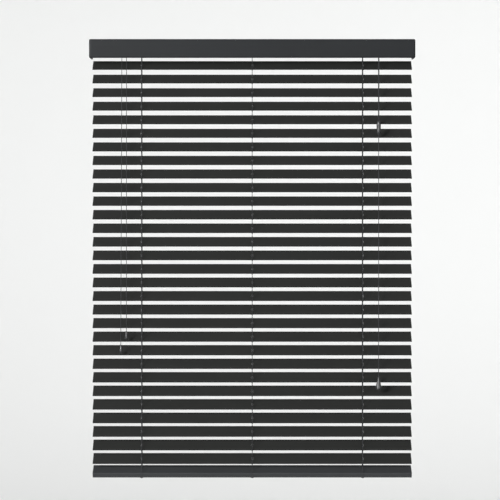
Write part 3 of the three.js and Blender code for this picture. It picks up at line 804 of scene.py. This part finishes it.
def rail_plug(name, x):
    """A domed button with round ends, pressed into the underside of the rail."""
    under = -rail_thickness / 2 - fit_gap
    reach = (plug_length - plug_width) / 2
    half_steps = 12
    rings = [(1.0, 0.0), (1.0, 0.25), (0.96, 0.5), (0.86, 0.74), (0.68, 0.9), (0.42, 0.98)]
    vertices = []
    faces = []
    for share, depth in rings:
        radius = plug_width / 2 - (1 - share) * plug_width / 2
        z = under - depth * plug_height
        ends = [*arc((0, reach), radius, 0, 180, half_steps), *arc((0, -reach), radius, 180, 360, half_steps)]
        vertices.extend((x + a, b, z) for a, b in ends)
    count = 2 * (half_steps + 1)
    for ring in range(len(rings) - 1):
        for i in range(count):
            following = (i + 1) % count
            low, high = ring * count, (ring + 1) * count
            faces.append((low + following, low + i, high + i, high + following))
    faces.append(tuple(range(count)))
    faces.append(tuple(reversed(range(len(vertices) - count, len(vertices)))))
    stand_for(placed(mesh_piece(f"rail_plug_{name}_fine", vertices, faces), rail_place), f"rail_plug_{name}")


rail_board()
for ladder_name, ladder_x in ladder_places.items():
    eyelet(ladder_name, ladder_x)
    rail_plug(ladder_name, ladder_x)

# ------------------------------------------------------------------ valance


def valance():
    """A moulded board carried round both corners, with round long edges."""
    low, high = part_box("valance")
    thickness = valance_thickness
    edge_depth, edge_height = 0.003, 0.005
    steps = 5
    quarter = [math.radians(90 * step / steps) for step in range(steps + 1)]
    top_edge = [(thickness - edge_depth * (1 - math.sin(a)), high.z - edge_height * (1 - math.cos(a)))
                for a in quarter]
    bottom_edge = [(thickness - edge_depth * (1 - math.cos(a)), low.z + edge_height * (1 - math.sin(a)))
                   for a in quarter]
    section = [(0, low.z), (0, high.z), *top_edge, *bottom_edge]
    inner_x = high.x - thickness
    inner_y = low.y + thickness
    stations = []
    corner_steps = 6
    for side in (-1, 1):
        fan = []
        for step in range(corner_steps + 1):
            angle = math.radians(90 * step / corner_steps)
            fan.append(((side * inner_x, inner_y), (side * math.cos(angle), -math.sin(angle))))
        end = ((side * inner_x, high.y), (side, 0))
        stations.extend([end, *fan] if side < 0 else [*reversed(fan), end])
    vertices = []
    faces = []
    for (x, y), (out_x, out_y) in stations:
        vertices.extend((x + out * out_x, y + out * out_y, z) for out, z in section)
    count = len(section)
    for station in range(len(stations) - 1):
        for i in range(count):
            following = (i + 1) % count
            start, end = station * count, (station + 1) * count
            faces.append((start + i, start + following, end + following, end + i))
    faces.append(tuple(range(count)))
    faces.append(tuple(reversed(range(len(vertices) - count, len(vertices)))))
    piece = mesh_piece("valance_fine", vertices, faces)
    work = bmesh.new()
    work.from_mesh(piece.data)
    bmesh.ops.remove_doubles(work, verts=work.verts, dist=1e-6)
    bmesh.ops.recalc_face_normals(work, faces=work.faces)
    work.to_mesh(piece.data)
    work.free()
    weighted = piece.modifiers.new("normals", "WEIGHTED_NORMAL")
    weighted.keep_sharp = True
    smoothed(piece, 40)
    stand_for(baked(piece), "valance")


def valance_clip(index, x):
    """A bent clear strip that hooks on the headrail's lip and holds the valance."""
    lip_back = headrail_low.y + 0.008
    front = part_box("valance")[0].y + valance_thickness + fit_gap
    top = headrail_high.z + fit_gap
    centreline = route([
        (0, lip_back, top - 0.006),
        (0, lip_back, top + 0.0006),
        (0, front + 0.0007, top + 0.0006),
        (0, front + 0.0007, top - 0.030),
        (0, front + 0.0045, top - 0.030),
    ], 0.0015)
    half = 0.0005
    outer, inner = [], []
    for i, point in enumerate(centreline):
        tangent = centreline[min(i + 1, len(centreline) - 1)] - centreline[max(i - 1, 0)]
        tangent.normalize()
        outer.append((point.y - tangent.z * half, point.z + tangent.y * half))
        inner.append((point.y + tangent.z * half, point.z - tangent.y * half))
    clip = drawn_along_x(f"valance_clip_{index}", [*outer, *reversed(inner)], x - 0.008, x + 0.008)
    dress(clip, "nylon", "head")
    clip.data.materials[0] = clear_plastic


valance()
for index, clip_x in enumerate((-0.25, -0.06, 0.06, 0.25)):
    valance_clip(index + 1, clip_x)

# ------------------------------------------------------------------ headrail and what is in it

refined("headrail", cut_edge)
for side_name in ("left", "right"):
    refined(f"bracket_{side_name}", cut_edge)
for ladder_name in ladder_places:
    refined(f"cradle_{ladder_name}", fine_edge)
refined("tilter_housing", cut_edge)
refined("cord_lock_body", cut_edge)
refined("tilt_rod", fine_edge)
refined("tilter_gear", 0.0002)


def bracket_door(name):
    """The hinged front plate of a box bracket, with its hinge barrel and snap lip."""
    low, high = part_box(f"bracket_{name}")
    front = low.y - 0.0004
    wall = 0.0012
    plate = [
        (front, low.z - 0.0002),
        (front - wall, low.z - 0.0002),
        (front - wall, high.z - 0.0040),
        (front - wall - 0.0018, high.z - 0.0022),
        (front - wall - 0.0012, high.z - 0.0016),
        (front, high.z - 0.0034),
    ]
    door = drawn_along_x(f"bracket_door_{name}", plate, low.x + 0.0005, high.x - 0.0005)
    dress(softened(door, 0.0002), "headrail_steel", "head")
    barrel = [(0, low.x + 0.001), (0.0012, low.x + 0.001), (0.0013, low.x + 0.0015),
              (0.0013, high.x - 0.0015), (0.0012, high.x - 0.001), (0, high.x - 0.001)]
    along_x = Matrix.Translation((0, front - wall / 2, low.z)) @ Matrix.Rotation(math.radians(90), 4, "Y")
    dress(turned(f"bracket_hinge_{name}", barrel, along_x, 20), "headrail_steel", "head")


for side_name in ("left", "right"):
    bracket_door(side_name)


def drum(name, x):
    """A grooved drum with two flanges and a hub."""
    half = 0.010
    profile = [
        (0.0038, -half), (0.0070, -half), (0.0074, -half + 0.0006), (0.0145, -half + 0.0006),
        (0.0150, -half), (0.0176, -half), (0.0180, -half + 0.0004), (0.0180, -half + 0.0011),
        (0.0176, -half + 0.0015), (0.0163, -half + 0.0015), (0.0160, -half + 0.0019),
        (0.0160, half - 0.0019), (0.0163, half - 0.0015), (0.0176, half - 0.0015),
        (0.0180, half - 0.0011), (0.0180, half - 0.0004), (0.0176, half), (0.0150, half),
        (0.0145, half - 0.0006), (0.0074, half - 0.0006), (0.0070, half), (0.0038, half),
        (0.0038, -half),
    ]
    along_x = Matrix.Translation((x, 0, rod_z)) @ Matrix.Rotation(math.radians(90), 4, "Y")
    stand_for(turned(f"drum_{name}_fine", profile, along_x, 56), f"drum_{name}")


for ladder_name, ladder_x in ladder_places.items():
    drum(ladder_name, ladder_x)


def worm_thread(turns, steps_per_turn):
    """The worm's helical thread about Y, highest at the middle of its length."""
    lead, tip, root = 0.0044, 0.005, 0.0022
    section = [(root, -0.001), (tip, -0.0005), (tip, 0.0005), (root, 0.001)]
    steps = round(turns * steps_per_turn)
    vertices = []
    faces = []
    for step in range(steps + 1):
        angle = 2 * math.pi * (step / steps_per_turn - turns / 2)
        climb = lead * angle / (2 * math.pi)
        vertices.extend((r * math.sin(angle), climb + offset, r * math.cos(angle)) for r, offset in section)
    for step in range(steps):
        for side in range(4):
            a = 4 * step + side
            b = 4 * step + (side + 1) % 4
            faces.append((a, a + 4, b + 4, b))
    faces.extend([(0, 1, 2, 3), (4 * steps + 3, 4 * steps + 2, 4 * steps + 1, 4 * steps)])
    return mesh_piece("thread", vertices, faces, None, 40)


def worm():
    """The worm, its shaft and the grooved pulley that the tilt cords hang from."""
    low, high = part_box("tilter_worm")
    cord_y = pull_exit.y
    along_y = Matrix.Rotation(math.radians(-90), 4, "X")
    shaft = [(0, low.y + 0.003), (0.0025, low.y + 0.003), (0.0025, high.y - 0.0005), (0.0020, high.y),
             (0, high.y)]
    groove = [(0.0086, -0.0028), (0.0086, -0.0017), (0.0078, -0.0014), (0.0064, -0.0010),
              (0.0061, 0), (0.0064, 0.0010), (0.0078, 0.0014), (0.0086, 0.0017), (0.0086, 0.0028)]
    pulley = [(0, cord_y - 0.0028), *[(r, cord_y + y) for r, y in groove], (0, cord_y + 0.0028)]
    pieces = [
        turned("shaft", shaft, along_y, 32),
        turned("pulley", pulley, along_y, 48),
        worm_thread(4, 36),
    ]
    whole = joined("tilter_worm_fine", pieces)
    stand_for(placed(whole, Matrix.Translation((worm_axis.x, 0, worm_axis.z))), "tilter_worm")


def lock_roller():
    """The knurled roller that grips the lift cords."""
    low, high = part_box("cord_lock_roller")
    radius = (high.x - low.x) / 2
    centre = (low + high) / 2
    ridges = 30
    vertices = []
    faces = []
    for y in (low.y, high.y):
        for step in range(2 * ridges):
            reach = radius if step % 2 else 0.93 * radius
            angle = math.pi * step / ridges
            vertices.append((centre.x + reach * math.cos(angle), y, centre.z + reach * math.sin(angle)))
    count = 2 * ridges
    faces.append(tuple(range(count)))
    faces.append(tuple(reversed(range(count, 2 * count))))
    for i in range(count):
        following = (i + 1) % count
        faces.append((following, i, count + i, count + following))
    stand_for(mesh_piece("cord_lock_roller_fine", vertices, faces, None, 20), "cord_lock_roller")


worm()
lock_roller()

# ------------------------------------------------------------------ stage and light


def stage_bowl():
    """A plain pale floor that curves up into a round wall, far enough out for every view."""
    floor_z, radius, curve, wall_top = -2.6, 11.0, 3.5, 3.0
    profile = [(0, floor_z), (radius - curve, floor_z)]
    profile += [(radius - curve + a, floor_z + curve + b) for a, b in arc((0, 0), curve, -90, 0, 16)[1:]]
    profile.append((radius, wall_top))
    bowl = turned("stage_bowl", profile, Matrix.Identity(4), 96, 60)
    material, _, shader = blank("stage_paper", 0.95, specular=0.1)
    shader.inputs["Base Color"].default_value = (0.90, 0.905, 0.90, 1)
    bowl.data.materials.append(material)


def area_light(name, place, target, size, power, spread_deg=180):
    data = bpy.data.lights.new(name, "AREA")
    data.shape = "DISK"
    data.size = size
    data.energy = power
    data.spread = math.radians(spread_deg)
    light = bpy.data.objects.new(name, data)
    light.location = place
    light.rotation_euler = (Vector(target) - Vector(place)).to_track_quat("-Z", "Y").to_euler()
    bpy.context.scene.collection.objects.link(light)


def world_light(strength):
    world = bpy.data.worlds.new("studio")
    world.use_nodes = True
    background = world.node_tree.nodes["Background"]
    background.inputs["Color"].default_value = (1, 1, 1, 1)
    background.inputs["Strength"].default_value = strength
    bpy.context.scene.world = world


stage_bowl()
world_light(0.22)
area_light("key", (-3.8, -5.6, 1.0), (0, 0, -0.7), 2.4, 108, 70)
area_light("fill", (3.0, -5.5, 0.6), (0, 0, -0.7), 3.0, 18, 70)
for side in (-1, 1):
    area_light(f"back_wall_{side + 2}", (side * 4.5, 2.0, 4.5), (side * 2, 11, -0.6), 3.0, 126, 110)
    area_light(f"front_wall_{side + 2}", (side * 4.5, -3.0, 4.5), (side * 2, -11, -0.6), 3.0, 80, 110)
    area_light(f"side_wall_{side + 2}", (side * 3.0, 0, 4.5), (side * 11, 0, -0.6), 3.0, 60, 110)
bpy.context.scene.view_settings.view_transform = "Standard"
